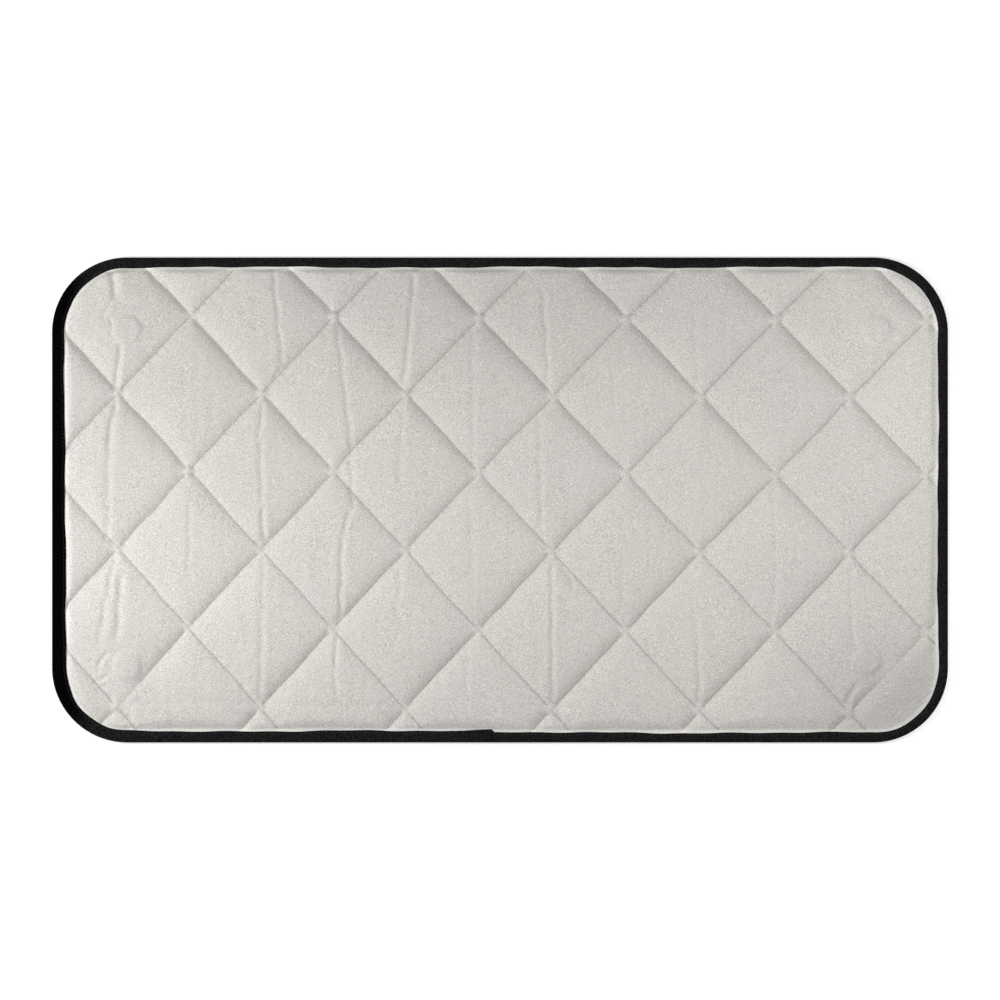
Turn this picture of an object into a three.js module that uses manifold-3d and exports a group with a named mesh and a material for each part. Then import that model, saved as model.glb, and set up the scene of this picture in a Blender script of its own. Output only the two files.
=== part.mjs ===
import * as THREE from 'three';
import { mergeVertices } from 'three/addons/utils/BufferGeometryUtils.js';
import Module from 'manifold-3d';

// Quilted sunroof cover, lying flat with its light face up.
// Millimetres, +Z up, +X to the right, +Y away from the viewer, resting on z = 0.

// Outline of the bound edge
const COVER_LENGTH = 850;
const COVER_WIDTH = 460;
const CORNER_RADIUS = 71;
const CORNER_STEPS = 6;

// Diamond quilting: squares of about 102 mm standing on their points
const QUILT_STEP_X = 69.5;
const QUILT_STEP_Y = 74.1;
const QUILT_CENTRE_X = -19.8;
const QUILT_CENTRE_Y = 26.1;

// Drift of the sewn rows and columns, in millimetres a step
const COLUMN_SPREAD = 0.195;
const ROW_SPREAD = 0.32;
const COLUMN_LEAN = 0.48;
const ROW_DROOP = 0.48;

// Heights of the quilted pad
const CLOTH_THICKNESS = 0.6;
const SEAM_LIFT = 1.4;
const SEAM_THICKNESS = 2.8;
const PUFF_HEIGHT = 5.3;
const PUFF_FULLNESS = 0.45;
const GROOVE_SHARE = 0.12;
const LAYER_GAP = 0.3;

// Places along a diamond's side where its surface changes slope
const FACE_GRADES = [0, 0.07, 0.28, 0.72, 0.93];
const BACK_GRADES = [0, GROOVE_SHARE, 1 - GROOVE_SHARE];

// Folded tape round the edge
const TAPE_THICKNESS = 0.7;
const BINDING_WIDTH = 10.5;
const EDGE_STACK = 3;
const RAW_EDGE_INSET = 3;
const FOLD_STEPS = 6;
const TAPE_FLOOR_GAP = 0.1;

// The tape's sewn-over end, on the near edge
const LAP_END_X = -7.6;
const LAP_LENGTH = 25;
const LAP_EXTRA_WIDTH = 2;
const LAP_BITE = 0.2;
const LAP_PROUD = 0.2;

// Roll of the pad down to the tape
const ROLL_WIDTH = 20;
const ROLL_STEPS = 2;
const ROLL_START_GAP = 0.5;
const ROLL_HEADROOM = 0.3;

// Disc magnets sewn in at the corners, thin enough to lie even where a seam draws the cloths together
const MAGNET_DIAMETER = 25;
const MAGNET_SEGMENTS = 24;

// Each magnet's corner, as its sides in X and Y, and how far it was sewn in from those two edges
const MAGNET_CORNERS = {
  magnet_far_left: { side: [-1, 1], inset: [71, 69] },
  magnet_far_right: { side: [1, 1], inset: [68, 69] },
  magnet_near_left: { side: [-1, -1], inset: [71, 72] },
  magnet_near_right: { side: [1, -1], inset: [77, 78] },
};

// Worked out from the sizes above
const SEAM_TOP = SEAM_LIFT + SEAM_THICKNESS;
const CROWN_TOP = SEAM_TOP + PUFF_HEIGHT;
const SLOT_HALF = EDGE_STACK / 2 + LAYER_GAP;
const FOLD_RADIUS = SLOT_HALF + TAPE_THICKNESS;
const EDGE_MID_Z = FOLD_RADIUS + TAPE_THICKNESS + TAPE_FLOOR_GAP;
const EDGE_TOP = EDGE_MID_Z + EDGE_STACK / 2;
const EDGE_BOTTOM = EDGE_MID_Z - EDGE_STACK / 2;
const WADDING_OFFSET = CLOTH_THICKNESS + LAYER_GAP;
const MAGNET_FLOOR = SEAM_LIFT + WADDING_OFFSET;
const MAGNET_TOP = SEAM_TOP - WADDING_OFFSET;
const TOOL_REACH = 60;
const TOOL_OVERHANG = 20;

const wasm = await Module();
wasm.setup();

function geometryFrom(points, triangles) {
  const geometry = new THREE.BufferGeometry();
  geometry.setAttribute('position', new THREE.Float32BufferAttribute(points.flat(), 3));
  geometry.setIndex(triangles.flat());
  return geometry;
}

function signedVolume(points, triangles) {
  const [a, b, c] = [new THREE.Vector3(), new THREE.Vector3(), new THREE.Vector3()];
  let volume = 0;
  for (const [i, j, k] of triangles) {
    a.fromArray(points[i]);
    b.fromArray(points[j]);
    c.fromArray(points[k]);
    volume += a.dot(b.cross(c)) / 6;
  }
  return volume;
}

function facingOut(points, triangles) {
  const inverted = signedVolume(points, triangles) < 0;
  const outward = inverted ? triangles.map(([i, j, k]) => [i, k, j]) : triangles;
  return geometryFrom(points, outward);
}

function solidFrom(geometry) {
  geometry.deleteAttribute('normal');
  geometry.deleteAttribute('uv');
  const merged = mergeVertices(geometry, 1e-4);
  const vertProperties = new Float32Array(merged.attributes.position.array);
  const triVerts = new Uint32Array(merged.index.array);
  return new wasm.Manifold(new wasm.Mesh({ numProp: 3, vertProperties, triVerts }));
}

function geometryOf(solid) {
  const mesh = solid.getMesh();
  const geometry = new THREE.BufferGeometry();
  geometry.setAttribute('position', new THREE.BufferAttribute(mesh.vertProperties, 3));
  geometry.setIndex(new THREE.BufferAttribute(mesh.triVerts, 1));
  geometry.computeVertexNormals();
  return geometry;
}

// Quilting lines cross where column and row are both whole and their sum is even.
function quiltPoint(column, row) {
  const x = QUILT_CENTRE_X + QUILT_STEP_X * column + COLUMN_SPREAD * column ** 2 - COLUMN_LEAN * row;
  const y = QUILT_CENTRE_Y - QUILT_STEP_Y * row - ROW_SPREAD * row ** 2 - ROW_DROOP * column;
  return [x, y];
}

function puff(share) {
  return (4 * share * (1 - share)) ** PUFF_FULLNESS;
}

function faceHeight(a, b) {
  return SEAM_TOP + PUFF_HEIGHT * puff(a) * puff(b);
}

function backHeight(a, b) {
  const toSeam = Math.min(a, 1 - a, b, 1 - b);
  return SEAM_LIFT * Math.max(0, 1 - toSeam / GROOVE_SHARE);
}

// Diamonds whose centres lie on the cover or up to one step outside it.
function quiltCells() {
  const reach = Math.ceil(COVER_LENGTH / QUILT_STEP_X + COVER_WIDTH / QUILT_STEP_Y);
  const cells = [];
  for (let p = -reach; p <= reach; p += 1) {
    for (let q = -reach; q <= reach; q += 1) {
      const [x, y] = quiltPoint(p + q + 1, q - p);
      const inLength = Math.abs(x) < COVER_LENGTH / 2 + QUILT_STEP_X;
      const inWidth = Math.abs(y) < COVER_WIDTH / 2 + QUILT_STEP_Y;
      if (inLength && inWidth) cells.push([p, q]);
    }
  }
  return cells;
}

// A slab of whole diamonds between two surfaces, with a wall round its rim.
function quiltSlab(grades, topAt, bottomAt) {
  const steps = grades.length;
  const tops = [];
  const bottoms = [];
  const known = new Map();
  const vertex = (i, j) => {
    const key = `${i},${j}`;
    if (!known.has(key)) {
      const [p, q] = [Math.floor(i / steps), Math.floor(j / steps)];
      const [a, b] = [grades[i - p * steps], grades[j - q * steps]];
      const [x, y] = quiltPoint(p + a + q + b, q + b - p - a);
      known.set(key, tops.length);
      tops.push([x, y, topAt(a, b)]);
      bottoms.push([x, y, bottomAt(a, b)]);
    }
    return known.get(key);
  };
  const faces = [];
  for (const [p, q] of quiltCells()) {
    for (let i = 0; i < steps; i += 1) {
      for (let j = 0; j < steps; j += 1) {
        const [u, v] = [p * steps + i, q * steps + j];
        const [s, t, w, z] = [vertex(u, v), vertex(u + 1, v), vertex(u + 1, v + 1), vertex(u, v + 1)];
        const towardsCentre = (2 * i + 1 < steps) === (2 * j + 1 < steps);
        if (towardsCentre) faces.push([s, t, w], [s, w, z]);
        else faces.push([s, t, z], [t, w, z]);
      }
    }
  }
  const count = tops.length;
  const edges = new Map();
  for (const [i, j, k] of faces) {
    for (const [from, to] of [[i, j], [j, k], [k, i]]) {
      if (edges.has(`${to},${from}`)) edges.delete(`${to},${from}`);
      else edges.set(`${from},${to}`, [from, to]);
    }
  }
  const walls = [...edges.values()].flatMap(([from, to]) => [
    [to, from, from + count],
    [to, from + count, to + count],
  ]);
  const undersides = faces.map(([i, j, k]) => [i + count, k + count, j + count]);
  return solidFrom(facingOut([...tops, ...bottoms], [...faces, ...walls, ...undersides]));
}

// Corner stations of the rounded outline, anticlockwise from the near right corner.
function outlineStations() {
  const stations = [];
  const turns = [[1, -1, -90], [1, 1, 0], [-1, 1, 90], [-1, -1, 180]];
  for (const [sideX, sideY, start] of turns) {
    for (let step = 0; step <= CORNER_STEPS; step += 1) {
      stations.push({
        x: sideX * (COVER_LENGTH / 2 - CORNER_RADIUS),
        y: sideY * (COVER_WIDTH / 2 - CORNER_RADIUS),
        angle: THREE.MathUtils.degToRad(start + (90 * step) / CORNER_STEPS),
      });
    }
  }
  return stations;
}

function outlinePoint(station, inset, z) {
  const radius = CORNER_RADIUS - inset;
  return [station.x + radius * Math.cos(station.angle), station.y + radius * Math.sin(station.angle), z];
}

// A solid whose outline steps through rings of given inset and height.
function ringStack(rings) {
  const stations = outlineStations();
  const count = stations.length;
  const points = rings.flatMap(([inset, z]) => stations.map((station) => outlinePoint(station, inset, z)));
  const triangles = [];
  for (let ring = 0; ring + 1 < rings.length; ring += 1) {
    for (let i = 0; i < count; i += 1) {
      const next = (i + 1) % count;
      const [a, b] = [ring * count + i, ring * count + next];
      triangles.push([a, b, b + count], [a, b + count, a + count]);
    }
  }
  const last = (rings.length - 1) * count;
  for (let i = 1; i + 1 < count; i += 1) {
    triangles.push([0, i + 1, i], [last, last + i, last + i + 1]);
  }
  return solidFrom(facingOut(points, triangles));
}

// The pad's rolled margin: level under the tape, then a quarter wave up or down to the crowns.
function marginSolid(edgeZ, crownZ, farZ) {
  const rings = [[-TOOL_OVERHANG, farZ], [-TOOL_OVERHANG, edgeZ]];
  for (let step = 0; step <= ROLL_STEPS; step += 1) {
    const share = step / ROLL_STEPS;
    const inset = BINDING_WIDTH + ROLL_START_GAP + ROLL_WIDTH * share;
    rings.push([inset, edgeZ + (crownZ - edgeZ) * Math.sin((Math.PI / 2) * share)]);
  }
  return ringStack(rings);
}

function belowFace(offset) {
  const depth = -TOOL_REACH - offset;
  const quilt = quiltSlab(FACE_GRADES, (a, b) => faceHeight(a, b) - offset, () => depth);
  return quilt.intersect(marginSolid(EDGE_TOP - offset, CROWN_TOP + ROLL_HEADROOM - offset, depth));
}

function aboveBack(offset) {
  const height = TOOL_REACH + offset;
  const quilt = quiltSlab(BACK_GRADES, () => height, (a, b) => backHeight(a, b) + offset);
  return quilt.intersect(marginSolid(EDGE_BOTTOM + offset, offset - ROLL_HEADROOM, height));
}

function insideRawEdge(solid) {
  return solid.intersect(ringStack([[RAW_EDGE_INSET, -TOOL_REACH / 2], [RAW_EDGE_INSET, TOOL_REACH / 2]]));
}

function magnetPlace({ side, inset }) {
  return [side[0] * (COVER_LENGTH / 2 - inset[0]), side[1] * (COVER_WIDTH / 2 - inset[1])];
}

function disc(radius, low, high, [x, y]) {
  const geometry = new THREE.CylinderGeometry(radius, radius, high - low, MAGNET_SEGMENTS);
  return geometry.rotateX(Math.PI / 2).translate(x, y, (low + high) / 2);
}

function faceCloth() {
  const outer = belowFace(0);
  const inner = belowFace(CLOTH_THICKNESS);
  return geometryOf(insideRawEdge(outer.subtract(inner)));
}

function backingCloth() {
  return geometryOf(insideRawEdge(aboveBack(0).subtract(aboveBack(CLOTH_THICKNESS))));
}

// The wadding has a round well for each magnet, open towards the face cloth.
function wadding() {
  const filling = belowFace(WADDING_OFFSET).intersect(aboveBack(WADDING_OFFSET));
  let cut = insideRawEdge(filling);
  for (const corner of Object.values(MAGNET_CORNERS)) {
    const radius = MAGNET_DIAMETER / 2 + LAYER_GAP;
    const well = disc(radius, MAGNET_FLOOR - LAYER_GAP, TOOL_REACH, magnetPlace(corner));
    cut = cut.subtract(solidFrom(well));
  }
  return geometryOf(cut);
}

// Section of the folded tape as inset and height: two legs joined by a round fold.
function tapeSection(foldInset, innerRadius, outerRadius, width) {
  const arc = (radius, from, to) => Array.from({ length: FOLD_STEPS + 1 }, (_, step) => {
    const angle = from + ((to - from) * step) / FOLD_STEPS;
    return [foldInset - radius * Math.cos(angle), EDGE_MID_Z + radius * Math.sin(angle)];
  });
  const quarter = Math.PI / 2;
  return [
    [width, EDGE_MID_Z - outerRadius],
    ...arc(outerRadius, -quarter, quarter),
    [width, EDGE_MID_Z + outerRadius],
    [width, EDGE_MID_Z + innerRadius],
    ...arc(innerRadius, quarter, -quarter),
    [width, EDGE_MID_Z - innerRadius],
  ];
}

function sweep(section, place, stationCount, closed) {
  const size = section.length;
  const points = [];
  for (let i = 0; i < stationCount; i += 1) {
    points.push(...section.map(([inset, z]) => place(i, inset, z)));
  }
  const triangles = [];
  const spans = closed ? stationCount : stationCount - 1;
  for (let i = 0; i < spans; i += 1) {
    const [here, there] = [i * size, ((i + 1) % stationCount) * size];
    for (let j = 0; j < size; j += 1) {
      const k = (j + 1) % size;
      triangles.push([here + j, there + j, there + k], [here + j, there + k, here + k]);
    }
  }
  if (!closed) {
    const contour = section.map(([inset, z]) => new THREE.Vector2(inset, z));
    const turn = Math.sign(THREE.ShapeUtils.area(contour));
    const last = (stationCount - 1) * size;
    for (const face of THREE.ShapeUtils.triangulateShape(contour, [])) {
      const sameTurn = Math.sign(THREE.ShapeUtils.area(face.map((index) => contour[index]))) === turn;
      const [i, j, k] = sameTurn ? face : [...face].reverse();
      triangles.push([i, j, k], [last + i, last + k, last + j]);
    }
  }
  return solidFrom(facingOut(points, triangles));
}

function edgeBinding() {
  const stations = outlineStations();
  const ringSection = tapeSection(FOLD_RADIUS, SLOT_HALF, FOLD_RADIUS, BINDING_WIDTH);
  const ring = sweep(ringSection, (i, inset, z) => outlinePoint(stations[i], inset, z), stations.length, true);
  const lapOuter = FOLD_RADIUS + TAPE_THICKNESS;
  const lapWidth = BINDING_WIDTH + LAP_EXTRA_WIDTH;
  const lapSection = tapeSection(lapOuter - LAP_PROUD, FOLD_RADIUS - LAP_BITE, lapOuter, lapWidth);
  const lapEnds = [LAP_END_X - LAP_LENGTH, LAP_END_X];
  const lapPoint = (i, inset, z) => [lapEnds[i], inset - COVER_WIDTH / 2, z];
  const lap = sweep(lapSection, lapPoint, lapEnds.length, false);
  return geometryOf(ring.add(lap));
}

function magnet(corner) {
  return disc(MAGNET_DIAMETER / 2, MAGNET_FLOOR, MAGNET_TOP, magnetPlace(corner));
}

const silverCloth = new THREE.MeshStandardMaterial({ color: 0xd3cfc8, roughness: 0.6, metalness: 0.1 });
const whiteFibre = new THREE.MeshStandardMaterial({ color: 0xf0efec, roughness: 0.95, metalness: 0 });
const blackCloth = new THREE.MeshStandardMaterial({ color: 0x1d1d1f, roughness: 0.85, metalness: 0 });
const blackTape = new THREE.MeshStandardMaterial({ color: 0x161617, roughness: 0.8, metalness: 0 });
const nickel = new THREE.MeshStandardMaterial({ color: 0xb4b5b8, roughness: 0.3, metalness: 1 });

const cover = new THREE.Group();
cover.name = 'sunroof_cover';

function addPiece(name, geometry, material) {
  const mesh = new THREE.Mesh(geometry, material);
  mesh.name = name;
  cover.add(mesh);
}

addPiece('face_cloth', faceCloth(), silverCloth);
addPiece('wadding', wadding(), whiteFibre);
addPiece('backing_cloth', backingCloth(), blackCloth);
addPiece('edge_binding', edgeBinding(), blackTape);
for (const [name, corner] of Object.entries(MAGNET_CORNERS)) addPiece(name, magnet(corner), nickel);

export default cover;
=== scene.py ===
"""Quilted sunroof cover, lying flat with its silver-grey face up, seen from straight above."""

import math

import bmesh
import bpy
import numpy as np
from mathutils import Matrix, Vector


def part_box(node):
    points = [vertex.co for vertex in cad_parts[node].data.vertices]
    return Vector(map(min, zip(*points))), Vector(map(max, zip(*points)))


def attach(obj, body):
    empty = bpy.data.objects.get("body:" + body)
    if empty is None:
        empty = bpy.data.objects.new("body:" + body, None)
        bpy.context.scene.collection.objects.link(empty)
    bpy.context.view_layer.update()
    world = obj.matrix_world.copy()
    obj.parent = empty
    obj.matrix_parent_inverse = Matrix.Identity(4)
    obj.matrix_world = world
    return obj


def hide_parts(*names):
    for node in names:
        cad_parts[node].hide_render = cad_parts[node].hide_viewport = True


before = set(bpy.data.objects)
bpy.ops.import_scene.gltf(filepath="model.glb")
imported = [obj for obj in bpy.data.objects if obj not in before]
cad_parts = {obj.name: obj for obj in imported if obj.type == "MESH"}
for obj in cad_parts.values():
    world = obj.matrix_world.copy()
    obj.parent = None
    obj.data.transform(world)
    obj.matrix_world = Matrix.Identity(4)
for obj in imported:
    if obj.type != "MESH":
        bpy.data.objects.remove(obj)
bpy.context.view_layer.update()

MM = 0.001

# Scale and centre of the photograph, for places that are read from it
PHOTO_PIXEL = 0.9487 * MM
PHOTO_CENTRE = 500

# Outline of the bound edge, from the frame
FACE_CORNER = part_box("face_cloth")[1]
RAW_EDGE_INSET = 3 * MM
HALF_LENGTH = FACE_CORNER.x + RAW_EDGE_INSET
HALF_WIDTH = FACE_CORNER.y + RAW_EDGE_INSET
CORNER_RADIUS = 71 * MM

# Diamond quilting, as the solids have it
QUILT_STEP_X = 69.5 * MM
QUILT_STEP_Y = 74.1 * MM
QUILT_CENTRE_X = -19.8 * MM
QUILT_CENTRE_Y = 26.1 * MM
COLUMN_SPREAD = 0.195 * MM
ROW_SPREAD = 0.32 * MM
COLUMN_LEAN = 0.48 * MM
ROW_DROOP = 0.48 * MM
QUILT_REACH = 5

# Heights of the pad
CLOTH_THICKNESS = 0.6 * MM
SEAM_LIFT = 1.4 * MM
SEAM_THICKNESS = 2.8 * MM
SEAM_TOP = SEAM_LIFT + SEAM_THICKNESS
PUFF_HEIGHT = 6.2 * MM
PUFF_REACH = 10.5 * MM
GROOVE_SHARE = 0.12
LAYER_GAP = 0.3 * MM

# Look of the face cloth
SILVER_DARK = (0.40, 0.385, 0.36)
SILVER_LIGHT = (0.86, 0.835, 0.79)
GRAIN_STRENGTH = 1.7
# Painted shade: share of a dark grey laid into the colour along the seam grooves, standing for
# their shadow together with the needle holes
SEAM_PAINTED_SHADE = 0.75
# Painted highlight: share of a pale colour laid into the cloth in a thin band beside the tape
EDGE_PAINTED_HIGHLIGHT = 0.75

# Folded tape
TAPE_THICKNESS = 0.7 * MM
BINDING_WIDTH = 10.5 * MM
EDGE_STACK = 3 * MM
FOLD_RADIUS = EDGE_STACK / 2 + LAYER_GAP + TAPE_THICKNESS
EDGE_MID_Z = FOLD_RADIUS + TAPE_THICKNESS + 0.1 * MM
EDGE_TOP = EDGE_MID_Z + EDGE_STACK / 2
EDGE_BOTTOM = EDGE_MID_Z - EDGE_STACK / 2
LAP_END_X = -7.6 * MM
TAPE_NARROWING = 1.2 * MM
LEFT_WIDENING = 2.5 * MM
LOW_LEFT_WIDENING = 1.8 * MM
NEAR_LEFT_WIDENING = 1.6 * MM
LAP_LENGTH = 25 * MM

# Roll of the pad down to the tape
ROLL_WIDTH = 5.5 * MM
NEAR_EDGE_ROLL = 10 * MM
DROOPED_CORNER_ROLL = 62 * MM
DROOPED_CORNER_REACH = 95 * MM
ROLL_START = 1.5 * MM
CROWN_BLEND = 0.5 * MM
MARGIN_SPARE = 0.3 * MM


def from_photo(px, py):
    return (px - PHOTO_CENTRE) * PHOTO_PIXEL, (PHOTO_CENTRE - py) * PHOTO_PIXEL


def smooth_step(low, high, value):
    share = np.clip((value - low) / (high - low), 0, 1)
    return share * share * (3 - 2 * share)


def quilt_point(column, row):
    """Place of a column and row of the quilting, in metres; seams cross where their sum is even."""
    x = QUILT_CENTRE_X + QUILT_STEP_X * column + COLUMN_SPREAD * column**2 - COLUMN_LEAN * row
    y = QUILT_CENTRE_Y - QUILT_STEP_Y * row - ROW_SPREAD * row**2 - ROW_DROOP * column
    return x, y


def edge_inset(x, y):
    """How far inside the cover's outline a point lies."""
    across = np.abs(x) - (HALF_LENGTH - CORNER_RADIUS)
    along = np.abs(y) - (HALF_WIDTH - CORNER_RADIUS)
    beyond = np.hypot(np.maximum(across, 0), np.maximum(along, 0))
    return CORNER_RADIUS - beyond - np.minimum(np.maximum(across, along), 0)


def tape_edge(x, y):
    """Mean inset of the tape's inner edge; it is wider on the left and left of the lapped end."""
    left = smooth_step(-HALF_LENGTH + 60 * MM, -HALF_LENGTH + 5 * MM, x)
    low_left = left * smooth_step(0, -90 * MM, y)
    low_left = low_left * smooth_step(-HALF_WIDTH, -HALF_WIDTH + 60 * MM, y)
    near_left = smooth_step(-HALF_WIDTH + 30 * MM, -HALF_WIDTH + 5 * MM, y)
    near_left = near_left * smooth_step(LAP_END_X + 1 * MM, LAP_END_X, x)
    wider = LEFT_WIDENING * left + LOW_LEFT_WIDENING * low_left + NEAR_LEFT_WIDENING * near_left
    return BINDING_WIDTH - TAPE_NARROWING + wider


def soft_minimum(first, second, blend):
    share = np.clip(0.5 + 0.5 * (second - first) / blend, 0, 1)
    return second + (first - second) * share - blend * share * (1 - share)


def ripples(x, y, length_x, length_y, seed, waves=24):
    """Smooth random waves between about -1 and 1, of the given lengths across and along."""
    draw = np.random.default_rng(seed)
    total = np.zeros_like(x)
    for _ in range(waves):
        turn_x, turn_y = draw.normal(0, 1, 2)
        phase = draw.uniform(0, 2 * math.pi)
        total += np.sin(2 * math.pi * (turn_x * x / length_x + turn_y * y / length_y) + phase)
    return total / math.sqrt(waves)


def mesh_object(name, bm):
    mesh = bpy.data.meshes.new(name)
    bm.to_mesh(mesh)
    bm.free()
    mesh.polygons.foreach_set("use_smooth", [True] * len(mesh.polygons))
    piece = bpy.data.objects.new(name, mesh)
    bpy.context.scene.collection.objects.link(piece)
    return piece


def vertex_array(piece):
    places = np.zeros(len(piece.data.vertices) * 3, np.float32)
    piece.data.vertices.foreach_get("co", places)
    return places.reshape(-1, 3).astype(np.float64)


def set_vertices(piece, places):
    piece.data.vertices.foreach_set("co", places.astype(np.float32).ravel())
    piece.data.update()


def read_attribute(piece, name):
    values = np.zeros(len(piece.data.vertices), np.float32)
    piece.data.attributes[name].data.foreach_get("value", values)
    return values.astype(np.float64)


def write_attribute(piece, name, values):
    layer = piece.data.attributes.new(name, "FLOAT", "POINT")
    layer.data.foreach_set("value", values.astype(np.float32))


# The quilted cloths

def in_reach(p, q):
    return edge_inset(*quilt_point(p + q, q - p)) >= RAW_EDGE_INSET


def quilt_plane(steps, refine=None):
    """A flat grid with quilting places as coordinates, cut to the raw edge, refined on request."""
    bm = bmesh.new()
    segments = 2 * QUILT_REACH * steps
    bmesh.ops.create_grid(bm, x_segments=segments, y_segments=segments, size=QUILT_REACH)
    outside = [vert for vert in bm.verts if not in_reach(vert.co.x, vert.co.y)]
    bmesh.ops.delete(bm, geom=outside, context="VERTS")
    if refine:
        bm.faces.ensure_lookup_table()
        centres = np.array([face.calc_center_median()[:2] for face in bm.faces])
        chosen = refine(centres[:, 0], centres[:, 1])
        edges = {edge for face, wanted in zip(bm.faces[:], chosen) if wanted for edge in face.edges}
        bmesh.ops.subdivide_edges(bm, edges=list(edges), cuts=1, use_grid_fill=True)
        bmesh.ops.triangulate(bm, faces=[face for face in bm.faces if len(face.verts) > 4])
    return bm


def edge_gap(p, q):
    return edge_inset(*quilt_point(p + q, q - p)) - RAW_EDGE_INSET


def meet_raw_edge(bm):
    """Moves a plane's border vertices out to the raw edge, so that the cut runs smoothly."""
    step = 1e-4
    for vert in [item for item in bm.verts if item.is_boundary]:
        for _ in range(3):
            p, q = vert.co.x, vert.co.y
            gap = edge_gap(p, q)
            slope_p = (edge_gap(p + step, q) - gap) / step
            slope_q = (edge_gap(p, q + step) - gap) / step
            share = gap / (slope_p**2 + slope_q**2)
            vert.co.x -= share * slope_p
            vert.co.y -= share * slope_q
    return bm


def quilt_sheet(name, bm, faces_up):
    """Turns a flat grid into a sheet at its real size, keeping each vertex's quilting place."""
    piece = mesh_object(name, bm)
    places = vertex_array(piece)
    p, q = places[:, 0].copy(), places[:, 1].copy()
    write_attribute(piece, "quilt_p", p)
    write_attribute(piece, "quilt_q", q)
    places[:, 0], places[:, 1] = quilt_point(p + q, q - p)
    places[:, 0] += SEAM_WANDER * ripples(places[:, 0], places[:, 1], 70 * MM, 70 * MM, 11)
    places[:, 1] += SEAM_WANDER * ripples(places[:, 0], places[:, 1], 70 * MM, 70 * MM, 12)
    set_vertices(piece, places)
    if (sum(polygon.normal.z for polygon in piece.data.polygons) > 0) != faces_up:
        piece.data.flip_normals()
    return piece


# Unevenness of the sewn lines, grid steps in a quilting square, and the finer mesh's reach
SEAM_WANDER = 0.55 * MM
SIM_STEPS = 20
FACE_STEPS = 40
REFINE_SEAM = 2.2 * MM
REFINE_CREASE = 4.5 * MM


def seam_distances(piece):
    """Distance to the nearest falling and rising seam, in metres."""
    side = math.hypot(QUILT_STEP_X, QUILT_STEP_Y)
    p, q = read_attribute(piece, "quilt_p"), read_attribute(piece, "quilt_q")
    return side * np.abs(p - np.round(p)), side * np.abs(q - np.round(q))


def sunk(distance):
    """How far the pad is drawn down at a distance from a seam, from 1 at the stitches to 0."""
    return np.exp(-distance / PUFF_REACH)


# How deep each family of seams lies, far side and near side of the cover
FALLING_DEPTH = (1.0, 0.5)
RISING_DEPTH = (0.8, 1.0)
DEPTH_CHANGE = 70 * MM
# Spots where the rising seams fade: middle and reach in photo pixels
FADED_SEAMS = [(124, 690, 26), (895, 668, 40)]
SEAM_FADING = 0.8
CREVICE_DEPTH = 1.3 * MM
CREVICE_WIDTH = 2.6 * MM
KNOT_INNER = 2.5 * MM
KNOT_OUTER = 7 * MM
SEAM_LINE = 0.75 * MM


def clear_of_knot(falling, rising):
    """0 on the knot where two seams cross, 1 away from it."""
    return smooth_step(KNOT_INNER, KNOT_OUTER, np.hypot(falling, rising))


def rising_kept(x, y):
    """Share of the rising seams' depth that is left, less where they fade out near two corners."""
    kept = np.ones_like(x)
    for px, py, reach in FADED_SEAMS:
        spot_x, spot_y = from_photo(px, py)
        away = ((x - spot_x) ** 2 + (y - spot_y) ** 2) / (reach * PHOTO_PIXEL) ** 2
        kept -= SEAM_FADING * np.exp(-away)
    return kept


def face_height(x, y, p, q):
    side = math.hypot(QUILT_STEP_X, QUILT_STEP_Y)
    falling, rising = side * np.abs(p - np.round(p)), side * np.abs(q - np.round(q))
    near = smooth_step(DEPTH_CHANGE, -DEPTH_CHANGE, y)
    falling_depth = FALLING_DEPTH[0] + (FALLING_DEPTH[1] - FALLING_DEPTH[0]) * near
    rising_depth = RISING_DEPTH[0] + (RISING_DEPTH[1] - RISING_DEPTH[0]) * near
    rising_depth = rising_depth * rising_kept(x, y)
    puff = (1 - falling_depth * sunk(falling)) * (1 - rising_depth * sunk(rising))
    crown = SEAM_TOP + PUFF_HEIGHT * puff
    inset = edge_inset(x, y)
    corner = np.hypot(x - HALF_LENGTH, y + HALF_WIDTH)
    roll = ROLL_WIDTH + NEAR_EDGE_ROLL * smooth_step(-100 * MM, -200 * MM, y)
    roll += DROOPED_CORNER_ROLL * np.exp(-((corner / DROOPED_CORNER_REACH) ** 2))
    share = np.clip((inset - tape_edge(x, y) - ROLL_START) / roll, 0, 1)
    margin_top = SEAM_TOP + PUFF_HEIGHT + MARGIN_SPARE
    margin = EDGE_TOP + (margin_top - EDGE_TOP) * np.sin(math.pi / 2 * share)
    falling_crevice = falling_depth * np.exp(-((falling / CREVICE_WIDTH) ** 2))
    rising_crevice = rising_depth * np.exp(-((rising / CREVICE_WIDTH) ** 2))
    crevice = CREVICE_DEPTH * np.maximum(falling_crevice, rising_crevice)
    crevice *= clear_of_knot(falling, rising)
    crevice *= smooth_step(BINDING_WIDTH, BINDING_WIDTH + 4 * MM, inset)
    return soft_minimum(crown, margin, CROWN_BLEND) - crevice


def raise_face(piece):
    places = vertex_array(piece)
    p, q = read_attribute(piece, "quilt_p"), read_attribute(piece, "quilt_q")
    places[:, 2] = face_height(places[:, 0], places[:, 1], p, q)
    set_vertices(piece, places)


# The short relaxation of the face: frames, extra cloth in X and Y, and the most it may move
SIM_FRAMES = 20
SIM_EXCESS_X = 1.012
SIM_EXCESS_Y = 1.004
SIM_CAP = 1.6 * MM
SEAM_HOLD = 1.0 * MM


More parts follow.
